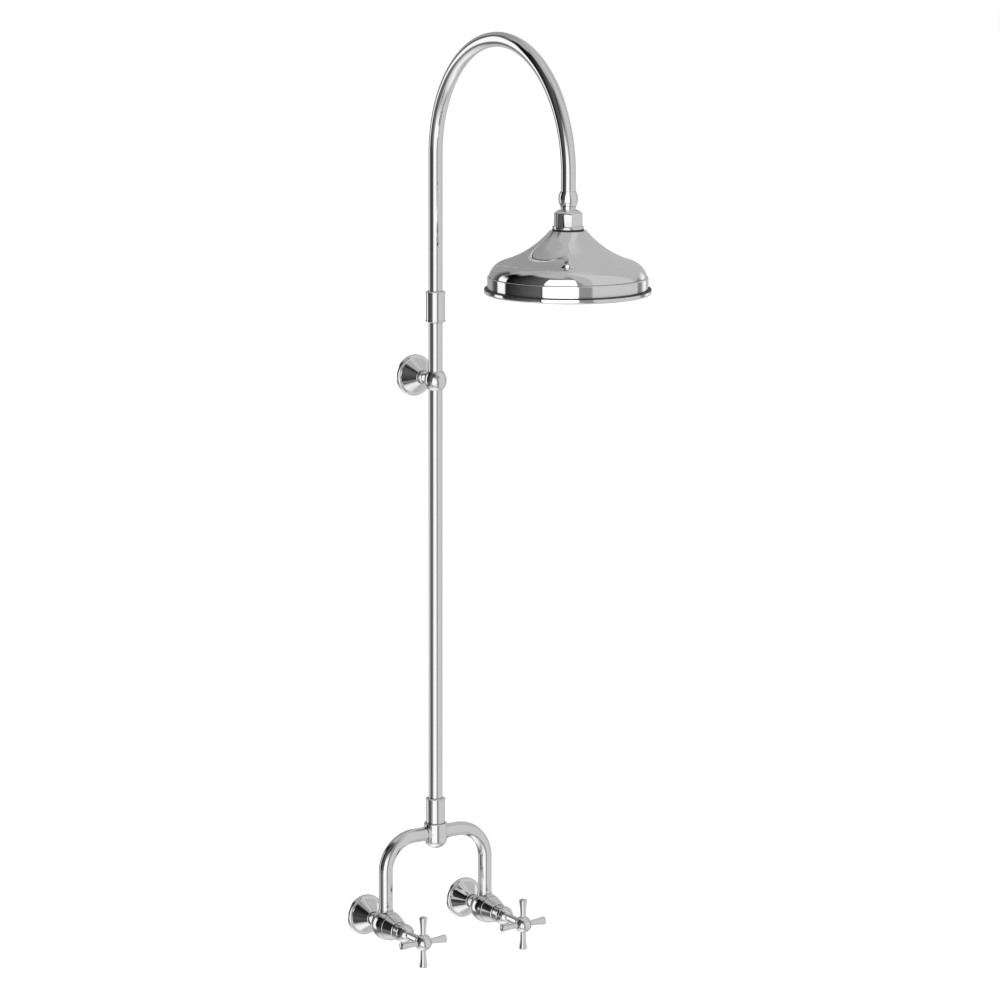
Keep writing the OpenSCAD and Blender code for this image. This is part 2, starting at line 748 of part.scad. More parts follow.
// The bore is the same path, run out of both ends
module bridge_pipe_bore(r) {
    tap_x = inlet_centres / 2;
    start_x = tee_boss_x - bridge_insert - 1;
    translate([tap_x, 0, pipe_foot_z - 1]) cylinder(r = r, h = bridge_z - bridge_bend_r - pipe_foot_z + 1);
    side_rod(r, start_x, tap_x - bridge_bend_r, bridge_z);
    translate([tap_x - bridge_bend_r, 0, bridge_z - bridge_bend_r]) rotate([90, 0, 0])
        rotate_extrude(angle = 90) translate([bridge_bend_r, 0]) circle(r = r, $fn = 48);
}

module bridge_pipe(side) {
    color(CHROME) at_riser() mirror([side == LEFT ? 1 : 0, 0, 0]) difference() {
        bridge_pipe_solid(tube_r);
        bridge_pipe_bore(tube_r - tube_wall);
    }
}

module pipe_seals() {
    color(RUBBER) at_riser() for (side = [LEFT, RIGHT]) {
        translate([side * inlet_centres / 2, 0, 0]) o_ring(tube_r, pipe_ring_z);
        translate([side * tee_ring_x, 0, bridge_z]) rotate([0, 90, 0]) o_ring(tube_r, 0);
    }
}

module centre_tee() {
    dome_r = (tee_r * tee_r + tee_dome_h * tee_dome_h) / (2 * tee_dome_h);
    foot_z = bridge_z - tee_bottom;
    color(CHROME) at_riser() difference() {
        union() {
            rotate_extrude() polygon([
                [0, foot_z], [tee_r, foot_z], [tee_r, spigot_base_z - 1], [tee_r - 1, spigot_base_z],
                [0, spigot_base_z],
            ]);
            rotate_extrude() intersection() {
                translate([0, foot_z - tee_dome_h + dome_r]) circle(r = dome_r);
                band_2d(tee_r, foot_z - tee_dome_h, foot_z + eps);
            }
            rod(spigot_r, spigot_base_z - eps, spigot_base_z + spigot_h);
            side_rod(tee_boss_r, -tee_boss_x, tee_boss_x, bridge_z);
        }
        rod(tee_bore_r, bridge_z, spigot_base_z + spigot_h + eps);
        side_rod(tee_bore_r, -tee_boss_x, tee_boss_x, bridge_z);
        for (side = [0, 1]) mirror([side, 0, 0]) {
            side_rod(socket_r, tee_boss_x - bridge_insert - face_gap, tee_boss_x + 1, bridge_z);
            side_rod(ring_out_r, tee_ring_x - groove_w / 2, tee_ring_x + groove_w / 2, bridge_z);
        }
    }
}

// ---- riser ----

// Outline of a sleeve from height foot to height top, with a thin chamfered ring at its top
// and, where ring_below is true, one at its foot
module sleeve_2d(foot, top, ring_below) {
    mouth_r = sleeve_tube_r - 1.2;
    ring_foot = [
        [mouth_r, foot], [sleeve_ring_r, foot + sleeve_ring_h], [sleeve_ring_r, foot + 2 * sleeve_ring_h],
        [sleeve_tube_r, foot + 2 * sleeve_ring_h],
    ];
    polygon(concat(
        [[0, foot]],
        ring_below ? ring_foot : [[sleeve_tube_r, foot]],
        [
            [sleeve_tube_r, top - 2 * sleeve_ring_h], [sleeve_ring_r, top - 2 * sleeve_ring_h],
            [sleeve_ring_r, top - sleeve_ring_h], [mouth_r, top], [0, top],
        ]
    ));
}

module riser_socket() {
    foot = spigot_base_z + 0.3;
    color(CHROME) at_riser() difference() {
        rotate_extrude() sleeve_2d(foot, riser_socket_top, false);
        rod(spigot_r + fit, foot - eps, socket_step_z);
        rod(socket_r, socket_step_z - eps, riser_socket_top + eps);
        groove(ring_out_r, 0, riser_ring_z);
        translate([0, 0, riser_screw_z]) rotate([-90, 0, 0])
            rod(set_screw_r + fit, socket_r - 1, sleeve_ring_r + 1);
    }
}

module riser_seal() { color(RUBBER) at_riser() o_ring(tube_r, riser_ring_z); }

module riser() { color(CHROME) at_riser() ring(tube_r, tube_r - tube_wall, riser_foot_z, riser_top_z); }

// Set screws: one under each tap body, one behind the riser sleeve, one under the bracket's stem
module set_screw() {
    difference() {
        cylinder(r = set_screw_r, h = set_screw_l);
        hexagon(2, set_screw_l - 1.6, set_screw_l + eps);
    }
}

module set_screws() {
    color(STEEL) {
        for (side = [LEFT, RIGHT]) at_tap(side)
            translate([0, 0, tail_screw_at]) rotate([90, 0, 0])
                translate([0, 0, shank_r + face_gap]) set_screw();
        at_riser() translate([0, 0, riser_screw_z]) rotate([-90, 0, 0])
            translate([0, 0, tube_r + face_gap]) set_screw();
        at_bracket() translate([0, 0, stem_screw_at]) rotate([90, 0, 0])
            translate([0, 0, plug_r + face_gap]) set_screw();
    }
}

// ---- bracket ----

// The hanger bolt: a coarse thread for the wall plug behind the wall, a finer one inside the stem
module bracket_bolt() {
    color(STEEL) at_bracket() {
        rod(bolt_r, -bolt_back_l, 0);
        rod(bolt_stem_r, -eps, stem_back + bolt_in_l);
    }
}

module bracket_stem() {
    color(CHROME) at_bracket() difference() {
        rod(shank_r, stem_back, stem_front);
        rod(bolt_stem_r + fit, stem_back - eps, stem_back + bolt_in_l + 1);
        rod(plug_r + fit, stem_front - plug_l - 0.5, stem_front + eps);
        translate([0, 0, stem_screw_at]) rotate([90, 0, 0]) rod(set_screw_r + fit, plug_r, shank_r + 1);
    }
}

module bracket_clamp() {
    collar_back = stem_front + face_gap;
    color(CHROME) difference() {
        union() {
            translate([0, -column_out, bracket_z]) rotate_extrude() intersection() {
                translate([clamp_r - clamp_arc_r, 0]) circle(r = clamp_arc_r);
                band_2d(clamp_r, -clamp_half_h, clamp_half_h);
            }
            at_bracket() {
                rod(clamp_collar_r, collar_back, column_out - tube_r);
                rod(plug_r, collar_back - plug_l, column_out - tube_r);
            }
        }
        at_riser() rod(socket_r, bracket_z - far, bracket_z + far);
    }
}

// ---- arm ----

module coupling() {
    foot = joint_z - joint_below;
    top = joint_z + stop_h + joint_above;
    color(CHROME) at_riser() difference() {
        rotate_extrude() sleeve_2d(foot, top, true);
        rod(socket_r, foot - eps, joint_z);
        rod(tube_r - tube_wall, joint_z - eps, joint_z + stop_h + eps);
        rod(socket_r, joint_z + stop_h, top + eps);
        for (z = coupling_ring_places) groove(ring_out_r, 0, z);
    }
}

module coupling_seals() {
    color(RUBBER) at_riser() for (z = coupling_ring_places) o_ring(tube_r + 0.03, z);
}

// The arm's path, as a solid of radius r that runs over its ends by over
module arm_path(r, over) {
    translate([0, 0, arm_foot_z - over]) cylinder(r = r, h = arch_z - arm_foot_z + over);
    translate([0, -arch_r, arch_z]) rotate([90, 0, 90]) rotate_extrude(angle = 180)
        translate([arch_r, 0]) circle(r = r, $fn = 48);
    translate([0, -2 * arch_r, arm_end_z - over]) cylinder(r = r, h = arm_drop + over);
}

module gooseneck() {
    color(CHROME) at_riser() difference() {
        arm_path(tube_r, 0);
        arm_path(tube_r - tube_wall, 1);
    }
}

module arm_end() {
    color(CHROME) at_rose() difference() {
        rotate_extrude() intersection() {
            translate([barrel_r - barrel_arc_r, barrel_foot + barrel_h / 2]) circle(r = barrel_arc_r);
            band_2d(barrel_r, barrel_foot, barrel_top);
        }
        rod(socket_r, arm_end_z - face_gap, barrel_top + eps);
        rod(stem_thread_r + fit, barrel_foot - eps, arm_end_z);
    }
}

module filter_washer() {
    color(RUBBER) at_rose() ring(stem_thread_r - 0.1, 4.5, stem_top + face_gap, arm_end_z - 0.2);
}

module flow_restrictor() {
    color(NYLON) at_rose() difference() {
        rod(5.9, stem_top - 4, stem_top - face_gap);
        rod(2, stem_top - 5, stem_top);
        for (turn = [0 : 60 : 300]) rotate([0, 0, turn]) translate([4, 0, 0]) rod(0.6, stem_top - 5, stem_top);
    }
}

// ---- ball joint ----

module ball_stem() {
    neck_top = barrel_foot - 0.4;
    color(CHROME) at_rose() difference() {
        rotate_extrude() {
            intersection() {
                translate([0, ball_z]) circle(r = ball_r);
                band_2d(ball_r, ball_z - ball_r, ball_z + ball_r);
            }
            band_2d(ball_neck_r, ball_z, neck_top);
            polygon([[0, neck_top - 2], [ball_neck_r, neck_top - 2], [neck_flange_r, neck_top - 0.8],
                [neck_flange_r, neck_top], [0, neck_top]]);
            band_2d(stem_thread_r, neck_top - eps, stem_top);
        }
        rod(5, ball_z - ball_r - 1, stem_top);
        rod(5.95, stem_top - 4.1, stem_top + eps);
    }
}

// A part of the shell between two balls round the joint's centre, from height z0 to z1 above it
module ball_zone(r_in, r_out, z0, z1) {
    at_rose() translate([0, 0, ball_z]) rotate_extrude() difference() {
        intersection() {
            circle(r = r_out);
            band_2d(r_out, z0, z1);
        }
        circle(r = r_in);
    }
}

module ball_cup() { color(NYLON) ball_zone(cup_in_r, cup_out_r, 0.6, lip_h - 1.4); }

module ball_seal() {
    color(RUBBER) at_rose() rotate_extrude() difference() {
        band_2d(seal_out_r, boss_ledge_z + face_gap, boss_top_z);
        translate([0, ball_z]) circle(r = cup_in_r);
    }
}

module swivel_nut() {
    hex_z = nut_foot_z + nut_collar_h;
    top_z = ball_z + lip_h;
    cone_h = (nut_corner_r - nut_lip_r - 1.1) * tan(30);
    color(CHROME) at_rose() difference() {
        union() {
            intersection() {
                rotate([0, 0, -90 - nut_turn]) hexagon(nut_af, hex_z, top_z);
                rotate_extrude() polygon([
                    [0, hex_z], [nut_corner_r, hex_z], [nut_corner_r, top_z - cone_h],
                    [nut_lip_r + 1.1, top_z], [0, top_z],
                ]);
            }
            rod(nut_collar_r, nut_foot_z, hex_z + eps);
        }
        rotate_extrude() {
            intersection() {
                translate([0, ball_z]) circle(r = nut_in_r);
                band_2d(nut_in_r, ball_z, top_z + 1);
            }
            band_2d(nut_in_r, boss_top_z, ball_z + eps);
            band_2d(boss_r + fit, nut_foot_z - 1, boss_top_z + 0.4);
        }
    }
}

// ---- rose ----

module rose_inlet() {
    crown_under = crown_z - bell_wall;
    color(BRASS) at_rose() difference() {
        union() {
            rod(boss_r, crown_under - 5, boss_top_z);
            rod(boss_r + 4, crown_under - 2.2, crown_under - face_gap);
        }
        rod(seal_out_r + 0.1, boss_ledge_z, boss_top_z + eps);
        rod(boss_bore_r, crown_under - 6, boss_ledge_z + eps);
    }
}

// The crown and hollow flare of the rose, up to height top, moved inwards by inset
module flare_2d(top, inset) {
    difference() {
        band_2d(meet_r, seam_z, top);
        translate(flare_c) circle(r = flare_r + inset, $fn = 360);
    }
}

// The rounded shoulder of the rose between heights z0 and z1, moved inwards by inset
module shoulder_2d(z0, z1, inset) {
    intersection() {
        translate(shoulder_c) circle(r = shoulder_r - inset, $fn = 180);
        band_2d(band_r, z0, z1);
    }
}

module rose_bell() {
    inner_foot = seam_z + 1.5; // below it the inside follows the straight wall
    color(CHROME) at_rose() rotate_extrude() difference() {
        union() {
            flare_2d(crown_z, 0);
            shoulder_2d(seam_z, crown_z, 0);
            band_2d(bell_r, bell_foot_z, seam_z + eps);
        }
        flare_2d(crown_z - bell_wall, bell_wall);
        shoulder_2d(inner_foot, crown_z, bell_wall);
        band_2d(bell_r - bell_wall, bell_foot_z - 1, inner_foot);
        band_2d(boss_r + fit, bell_foot_z, crown_z + 1);
    }
}

module rose_band() {
    top = seam_z - seam_gap;
    color(CHROME) at_rose() difference() {
        rotate_extrude() difference() {
            union() {
                band_2d(band_r, ledge_z, top - band_round_r);
                band_2d(band_r - band_round_r, ledge_z, top);
                translate([band_r - band_round_r, top - band_round_r]) circle(r = band_round_r, $fn = 48);
            }
            band_2d(ledge_r, ledge_z - 1, ledge_z + ledge_h + 1);
            band_2d(bell_r + fit, ledge_z + ledge_h, seam_z + 1);
        }
        screw_places() rod(plate_screw_r + fit, ledge_z - 1, ledge_z + ledge_h + 1);
    }
}

module screw_places() {
    for (i = [1 : plate_screws])
        rotate([0, 0, i * 360 / plate_screws]) translate([screw_ring_r, 0, 0]) children();
}

module nozzle_places() {
    for (i = [1 : nozzle_rings], j = [1 : 6 * i])
        rotate([0, 0, j * 60 / i]) translate([i * nozzle_pitch, 0, 0]) children();
}

// The rubber gasket between band and face plate, and the rubber washer under the nut
module rose_gasket() {
    color(RUBBER) at_rose() {
        difference() {
            ring(rim_r - 0.2, bell_r - 6.4, gasket_z, gasket_z + gasket_h);
            screw_places() rod(plate_screw_r + loose, rim_top, ledge_z);
        }
        ring(nut_collar_r + 0.1, boss_r + loose, crown_z + face_gap, crown_z + face_gap + washer_h);
    }
}

// Outline of the face plate with its rolled rim
module plate_2d() {
    difference() {
        union() {
            band_2d(rim_r, rim_foot + rim_round_r, rim_top);
            band_2d(rim_r - rim_round_r, rim_foot, rim_top);
            translate([rim_r, rim_foot] + rim_round_r * [-1, 1]) circle(r = rim_round_r, $fn = 48);
        }
        band_2d(rim_r - rim_w, rim_foot - 1, plate_foot);
    }
}

module rose_plate() {
    color(CHROME) at_rose() difference() {
        rotate_extrude() plate_2d();
        nozzle_places() rod(nozzle_hole_r + fit, plate_foot - eps, rim_top + eps);
        screw_places() {
            rod(plate_screw_r + loose, plate_foot - eps, rim_top + eps);
            translate([0, 0, plate_foot - eps]) cylinder(r1 = 2.3 + loose, r2 = plate_screw_r + loose, h = 1.1);
        }
    }
}

module rose_nozzles() {
    foot = plate_foot - nozzle_l;
    color(RUBBER) at_rose() union() {
        rod(mat_r, rim_top + face_gap, rim_top + face_gap + mat_t);
        nozzle_places() {
            rod(nozzle_hole_r - 0.1, plate_foot - 0.4, rim_top + mat_t / 2);
            translate([0, 0, foot]) cylinder(r1 = 1.1, r2 = nozzle_hole_r - 0.3, h = nozzle_l);
        }
    }
}

module rose_screws() {
    color(STEEL) at_rose() screw_places() {
        rod(plate_screw_r, plate_foot, ledge_z + ledge_h);
        countersunk_head(plate_foot);
    }
}

// A countersunk screw head whose flat side faces down at height z
module countersunk_head(z) { translate([0, 0, z]) cylinder(r1 = 2.3, r2 = plate_screw_r, h = 1.1); }

inlet_tail(LEFT);  // inlet_tail_left
inlet_tail(RIGHT);  // inlet_tail_right
wall_flange(LEFT);  // wall_flange_left
wall_flange(RIGHT);  // wall_flange_right
tail_seal(LEFT);  // tail_seal_left
tail_seal(RIGHT);  // tail_seal_right
tap_body(LEFT);  // tap_body_left
tap_body(RIGHT);  // tap_body_right
base_seal(LEFT);  // base_seal_left
base_seal(RIGHT);  // base_seal_right
cartridge(LEFT);  // cartridge_left
cartridge(RIGHT);  // cartridge_right
fixed_disc(LEFT);  // fixed_disc_left
fixed_disc(RIGHT);  // fixed_disc_right
turning_disc(LEFT);  // turning_disc_left
turning_disc(RIGHT);  // turning_disc_right
spindle(LEFT);  // spindle_left
spindle(RIGHT);  // spindle_right
spindle_seals(LEFT);  // spindle_seals_left
spindle_seals(RIGHT);  // spindle_seals_right
bonnet(LEFT);  // bonnet_left
bonnet(RIGHT);  // bonnet_right
handle(LEFT);  // handle_left
handle(RIGHT);  // handle_right
handle_screw(LEFT);  // handle_screw_left
handle_screw(RIGHT);  // handle_screw_right
handle_button(LEFT);  // handle_button_left
handle_button(RIGHT);  // handle_button_right
bridge_pipe(LEFT);  // bridge_pipe_left
bridge_pipe(RIGHT);  // bridge_pipe_right
pipe_seals();
centre_tee();
riser_socket();
riser_seal();
riser();
set_screws();
bracket_bolt();
bracket_stem();
bracket_flange();
bracket_clamp();
coupling();
coupling_seals();
gooseneck();
arm_end();
filter_washer();
flow_restrictor();
ball_stem();
ball_cup();
ball_seal();
swivel_nut();
rose_inlet();
rose_bell();
rose_band();
rose_gasket();
rose_plate();
rose_nozzles();
rose_screws();
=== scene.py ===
"""The rainfall shower column's looks: materials, fine details, studio and camera round the CAD model."""
import json
import math
from typing import NamedTuple

import bmesh
import bpy
from mathutils import Matrix, Vector


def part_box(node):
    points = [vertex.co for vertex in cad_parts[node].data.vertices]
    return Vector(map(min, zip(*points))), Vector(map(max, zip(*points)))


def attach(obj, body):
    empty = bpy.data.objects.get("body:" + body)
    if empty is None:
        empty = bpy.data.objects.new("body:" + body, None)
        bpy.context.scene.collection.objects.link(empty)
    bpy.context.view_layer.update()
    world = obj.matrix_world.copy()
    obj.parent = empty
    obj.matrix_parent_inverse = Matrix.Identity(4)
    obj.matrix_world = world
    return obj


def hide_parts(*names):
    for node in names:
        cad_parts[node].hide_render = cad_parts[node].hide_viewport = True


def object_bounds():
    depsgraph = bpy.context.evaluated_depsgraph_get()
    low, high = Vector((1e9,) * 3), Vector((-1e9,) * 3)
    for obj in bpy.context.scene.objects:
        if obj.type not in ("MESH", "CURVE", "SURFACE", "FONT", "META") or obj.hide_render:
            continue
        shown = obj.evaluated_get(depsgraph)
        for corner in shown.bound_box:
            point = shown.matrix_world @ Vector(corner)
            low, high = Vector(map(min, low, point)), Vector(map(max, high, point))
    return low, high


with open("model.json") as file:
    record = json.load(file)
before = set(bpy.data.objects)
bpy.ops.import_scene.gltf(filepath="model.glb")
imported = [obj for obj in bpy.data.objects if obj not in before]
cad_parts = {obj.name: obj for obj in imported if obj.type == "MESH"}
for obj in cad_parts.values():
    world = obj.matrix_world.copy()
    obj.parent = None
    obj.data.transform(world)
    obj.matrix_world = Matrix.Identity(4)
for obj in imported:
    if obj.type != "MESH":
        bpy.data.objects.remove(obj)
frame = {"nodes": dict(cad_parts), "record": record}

cad_low, cad_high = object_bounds()
scene = bpy.context.scene
scene.view_settings.view_transform = "Standard"

# ---- camera, in metres and degrees ----

CAMERA_AZIMUTH = math.radians(-31.55)  # it stands in front of the column and to its left
CAMERA_PITCH = math.radians(10.6)
CAMERA_DISTANCE = 4.864
CAMERA_TARGET = Vector((0.0, -0.0517, 0.5468))
CAMERA_LENS, CAMERA_SENSOR = 138.06, 36.0  # millimetres
CAMERA_SHIFT_X = 0.0645
CAMERA_CLIP = (0.1, 100)

# ---- studio ----

CHROME_REFLECTANCE = 0.88
WHITE = 249  # the grey that a light box shows as in the chrome, a little off the white round the object

FLOOR_DROP = 0.30  # from the column's lowest point to the floor
FLOOR_HALF_SIZE = 14.0
FLOOR_GREY = 0.42  # what it gives back of the light
FLOOR_GLOW = 0.72  # what it adds for the camera, so that it shows white round the shadow

MATT_LIGHT = (0.55, 0.95)  # what matt surfaces get from below and from above
MATT_LIGHT_FULL = 0.6  # sine of the height, down or up, where each of them is reached

LAMP_PLACE, LAMP_AIM = Vector((-1.6, -2.2, 3.2)), Vector((0, -0.1, 0.6))
LAMP_SIZE, LAMP_POWER = 1.8, 55

ROSE_LIGHT_SIDES = (-37.5, 12.5)  # as the rose sees them, in a panel's terms
ROSE_LIGHT_HEIGHTS = (-21, 54)
ROSE_LIGHT_DISTANCE = 2.5
ROSE_LIGHT_BOUNCES = 8
ROSE_CHROME = ("rose_bell", "rose_band", "rose_plate", "ball_stem", "arm_end")


class Panel(NamedTuple):
    """A light box or a grey area that the chrome reflects. Azimuth 0 is on the camera's side."""

    sides: tuple  # azimuths of its left and right side, in degrees
    heights: tuple  # of its bottom and top, in degrees above the horizon
    grey: object  # the grey that it shows as, or two (azimuth, grey) pairs between which it fades
    soft: tuple  # half widths of the soft edges at its sides, and at its bottom and top
    lean: float = 0.0  # degrees that its sides go round for each degree of height
    slant: float = 0.0  # degrees that its bottom and top fall for each degree of azimuth


OPEN_ROOM = 178  # the grey where there is no panel
PANELS = (  # each lies over those before it
    # walls: right, behind, and behind on the left
    Panel((31, 151), (-50, 92), 197, (1.5, 3), lean=0.2),
    Panel((115, 260), (-26, 74), 180, (1.5, 16), lean=-0.39),
    Panel((-200, -121), (-10, 62), 150, (2, 16), lean=0.29),
    # the floor near the object
    Panel((-175, 209), (-120, -64), 241, (2, 16), slant=0.1),
    # dark screens on the left: low, black, and the grey one above it
    Panel((-130, -45), (-39, -10), ((-130, 112), (-45, 84)), (6, 4.5), lean=0.4),
    Panel((-124, 0), (-12, 61), ((-108, 4), (-33, 88)), (3, 6), lean=0.17),
    Panel((-142, -101), (47, 78), 166, (7, 6)),
    # the light box in front, between its dark edge and a grey screen
    Panel((-38.5, -27), (-51, 54), ((-38, 52), (-27, 16)), (1.2, 5), lean=0.13),
    Panel((-34, 17), (-41, 19), WHITE, (1.2, 16), lean=0.17, slant=0.12),
    Panel((11, 31), (-61, 74), 140, (2.5, 1.5), lean=-0.32, slant=0.12),
    # a dark and a light strip on the right, which draw the pipes in the side view
    Panel((117, 129), (-13, 12), 128, (4, 5)),
    Panel((134, 148), (-13, 12), 238, (4, 5)),
    # at the far left, a dark screen and a second light box
    Panel((-138, -121), (-10, 38), 72, (8, 3), lean=0.05),
    Panel((-122.5, -104), (-22, 23), WHITE, (2.2, 6), lean=-0.1),
)

# ---- detail pieces, in millimetres ----

MILLIMETRE = 0.001
SHARP_ANGLE = math.radians(28)  # an edge that turns more than this stays crisp
MERGE_DISTANCE = 1e-6  # metres
THREAD_FLAT = 0.12  # share of the pitch that is flat at the root, and again at the crest

NUT_FLATS, NUT_CROWN_R, NUT_CORNER_R = 32.5, 45.0, 1.7
NUT_TURN = math.radians(18.4)  # how far round it stands at rest
NUT_COLLAR_R, NUT_COLLAR_H = 18.8, 3.0
NUT_COLLAR_EDGE = (0.35, 0.1)  # reach and depth of its rounded edges
NUT_COLLAR_FILLET = (0.25, 0.07)  # reach and depth of the fillet between collar and sides
NUT_SHOULDER = (  # inwards from the sides and down from the bevel
    (0, 2.0), (0.06, 1.4), (0.2, 0.85), (0.42, 0.4), (0.7, 0.05), (1.1, -0.35),
)
NUT_BEVEL = math.radians(30)
NUT_RING_W = 1.1  # flat ring round the opening
NUT_LIP_EASE = 0.3
NUT_LIP_H = 7.6  # from the ball's middle to the opening
NUT_BALL_R, NUT_BOSS_R = 13.65, 14.05
NUT_BALL_STEP = 0.08  # radians
NUT_BORE_DEPTH = 4.6  # below the ball's middle
NUT_STEPS = 480

TAIL_THREAD_L, TAIL_PITCH, TAIL_CREST_R, TAIL_ROOT_R = 15.0, 1.814, 10.48, 9.32
TAIL_ROWS_PER_TURN = 14
TAIL_THREAD_END, TAIL_RELIEF_FROM = 1.2, 1.1  # both measured back from the hexagon
TAIL_LEAD_L, TAIL_LEAD_SLOPE = 1.1, 1.2  # the chamfer where the thread starts
TAIL_FLATS, TAIL_HEX_L = 22.0, 8.0
TAIL_CROWN_R, TAIL_CORNER_R = 4000, 0.6
TAIL_FIRST_CORNER = math.radians(30)
TAIL_BEVEL_SLOPE = 0.58
TAIL_EDGE, TAIL_FACE_EASE = 0.06, 0.1
TAIL_SHANK_R, TAIL_SHANK_CHAMFER = 8.0, 0.5
TAIL_BORE_R, TAIL_BORE_CHAMFER = 5.5, 0.4
TAIL_GROOVE_AT, TAIL_GROOVE_W, TAIL_GROOVE_R = 40.3, 1.6, 6.65
TAIL_STEPS = 144

BOLT_R = 4.0
BOLT_WOOD_PITCH, BOLT_WOOD_ROWS, BOLT_WOOD_DEPTH = 3.0, 12, 1.1
BOLT_WOOD_END = -1.5  # from the wall
BOLT_POINT_R, BOLT_POINT_SLOPE = 0.35, 0.55
BOLT_POINT_CREST, BOLT_POINT_ROOT = 0.5, 0.8  # added to the point's radius, and share of it
BOLT_PLAIN = (-1.2, 0.2)  # unthreaded length, from the wall
BOLT_METAL_R, BOLT_METAL_ROOT_R = BOLT_R - 0.2, BOLT_R - 0.85
BOLT_METAL_PITCH, BOLT_METAL_ROWS, BOLT_METAL_FROM = 1.25, 10, 0.5
BOLT_CHAMFER = 0.7
BOLT_STEPS = 60


def shade(grey):
    """The light level that shows in the chrome as this grey, from 0 to 255."""
    g = grey / 255
    linear = g / 12.92 if g <= 0.04045 else ((g + 0.055) / 1.055) ** 2.4
    return linear / CHROME_REFLECTANCE


# ---- node helpers ----


class Nodes:
    """Short ways to add nodes to one node tree."""

    def __init__(self, tree):
        self.tree = tree
        tree.nodes.clear()

    def add(self, kind, **settings):
        node = self.tree.nodes.new(kind)
        for name, value in settings.items():
            setattr(node, name, value)
        return node

    def link(self, source, target):
        self.tree.links.new(source, target)

    def put(self, socket, value):
        if isinstance(value, bpy.types.NodeSocket):
            self.link(value, socket)
        else:
            socket.default_value = value

    def math(self, operation, a, b=0.0, c=0.0):
        node = self.add("ShaderNodeMath", operation=operation)
        for socket, value in zip(node.inputs, (a, b, c)):
            self.put(socket, value)
        return node.outputs[0]

    def dot(self, a, b):
        node = self.add("ShaderNodeVectorMath", operation="DOT_PRODUCT")
        self.put(node.inputs[0], a)
        self.put(node.inputs[1], b)
        return node.outputs["Value"]

    def step(self, value, low, high, out_low=0.0, out_high=1.0):
        """Goes smoothly from out_low to out_high as value goes from low to high."""
        node = self.add("ShaderNodeMapRange", interpolation_type="SMOOTHSTEP")
        self.put(node.inputs["Value"], value)
        self.put(node.inputs["From Min"], low)
        self.put(node.inputs["From Max"], high)
        self.put(node.inputs["To Min"], out_low)
        self.put(node.inputs["To Max"], out_high)
        return node.outputs["Result"]

    def noise(self, vector, scale, detail, roughness):
        node = self.add("ShaderNodeTexNoise")
        self.put(node.inputs["Vector"], vector)
        node.inputs["Scale"].default_value = scale
        node.inputs["Detail"].default_value = detail
        node.inputs["Roughness"].default_value = roughness
        return node.outputs["Fac"]

    def mix(self, factor, a, b):
        node = self.add("ShaderNodeMix", data_type="FLOAT")
        self.put(node.inputs[0], factor)
        self.put(node.inputs[2], a)
        self.put(node.inputs[3], b)
        return node.outputs[0]

    def mix_colour(self, factor, a, b):
        node = self.add("ShaderNodeMix", data_type="RGBA")
        self.put(node.inputs[0], factor)
        self.put(node.inputs[6], a)
        self.put(node.inputs[7], b)
        return node.outputs[2]

    def relief(self, height, depth):
        node = self.add("ShaderNodeBump")
        node.inputs["Strength"].default_value = 1.0
        node.inputs["Distance"].default_value = depth
        self.link(height, node.inputs["Height"])
        return node.outputs[0]


# ---- studio ----


def make_world():
    """The studio that the chrome shows, an even light for matt surfaces, and a white surround."""
    world = bpy.data.worlds.new("studio")
    scene.world = world
    world.use_nodes = True
    n = Nodes(world.node_tree)
    direction = n.add("ShaderNodeTexCoord").outputs["Generated"]
    sa, ca = math.sin(CAMERA_AZIMUTH), math.cos(CAMERA_AZIMUTH)
    along_right = n.dot(direction, (ca, sa, 0.0))
    along_back = n.dot(direction, (sa, -ca, 0.0))
    up = n.dot(direction, (0.0, 0.0, 1.0))
    azimuth = n.math("DEGREES", n.math("ARCTAN2", along_right, along_back))
    height = n.math("DEGREES", n.math("ARCSINE", up))

    def inside(value, low, high, soft):
        rise = n.step(value, low - soft, low + soft)
        fall = n.step(value, high - soft, high + soft, 1.0, 0.0)
        return n.math("MULTIPLY", rise, fall)

    def light_of(grey):
        if isinstance(grey, tuple):
            (start, start_grey), (end, end_grey) = grey
            return n.step(azimuth, start, end, shade(start_grey), shade(end_grey))
        return shade(grey)

    level = shade(OPEN_ROOM)
    for panel in PANELS:
        across = n.math("MULTIPLY_ADD", height, -panel.lean, azimuth)
        tilted = n.math("MULTIPLY_ADD", azimuth, panel.slant, height)
        between_sides = inside(across, *panel.sides, panel.soft[0])
        between_ends = inside(tilted, *panel.heights, panel.soft[1])
        level = n.mix(n.math("MULTIPLY", between_sides, between_ends), level, light_of(panel.grey))

    path = n.add("ShaderNodeLightPath").outputs
    plain = n.step(up, -MATT_LIGHT_FULL, MATT_LIGHT_FULL, *MATT_LIGHT)
    glossy = n.math("MAXIMUM", path["Is Glossy Ray"], path["Is Transmission Ray"])
    seen = n.mix(glossy, plain, level)
    seen = n.mix(path["Is Camera Ray"], seen, 1.0)
    background = n.add("ShaderNodeBackground")
    background.inputs["Color"].default_value = (1, 1, 1, 1)
    n.link(seen, background.inputs["Strength"])
    n.link(background.outputs[0], n.add("ShaderNodeOutputWorld").inputs["Surface"])


